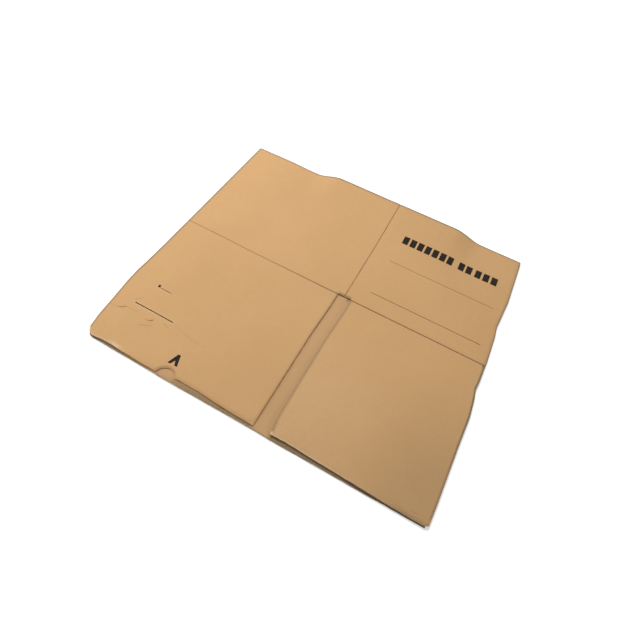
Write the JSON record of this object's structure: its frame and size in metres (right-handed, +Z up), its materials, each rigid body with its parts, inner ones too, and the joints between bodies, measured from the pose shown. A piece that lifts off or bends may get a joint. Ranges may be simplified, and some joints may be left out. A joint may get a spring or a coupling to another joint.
{
  "type": "flattened cardboard box",
  "caption": "Corrugated file box folded flat: a glued tube of kraft board in two layers, with slotted bottom flaps and a thumb notch.",
  "frame": {"origin": "middle of the footprint, on the floor under the lower layer", "axes": "+X along the free edge of the bottom flaps, from the long wall to the short wall of the upper layer; +Y from that edge to the box's mouth; +Z up"},
  "size_m": [0.698, 0.622, 0.0224],
  "materials": {
    "kraft_board": "matt brown kraft liner over corrugated board"
  },
  "bodies": {
    "root": {"flattened_box": "kraft_board"}
  },
  "joints": []
}
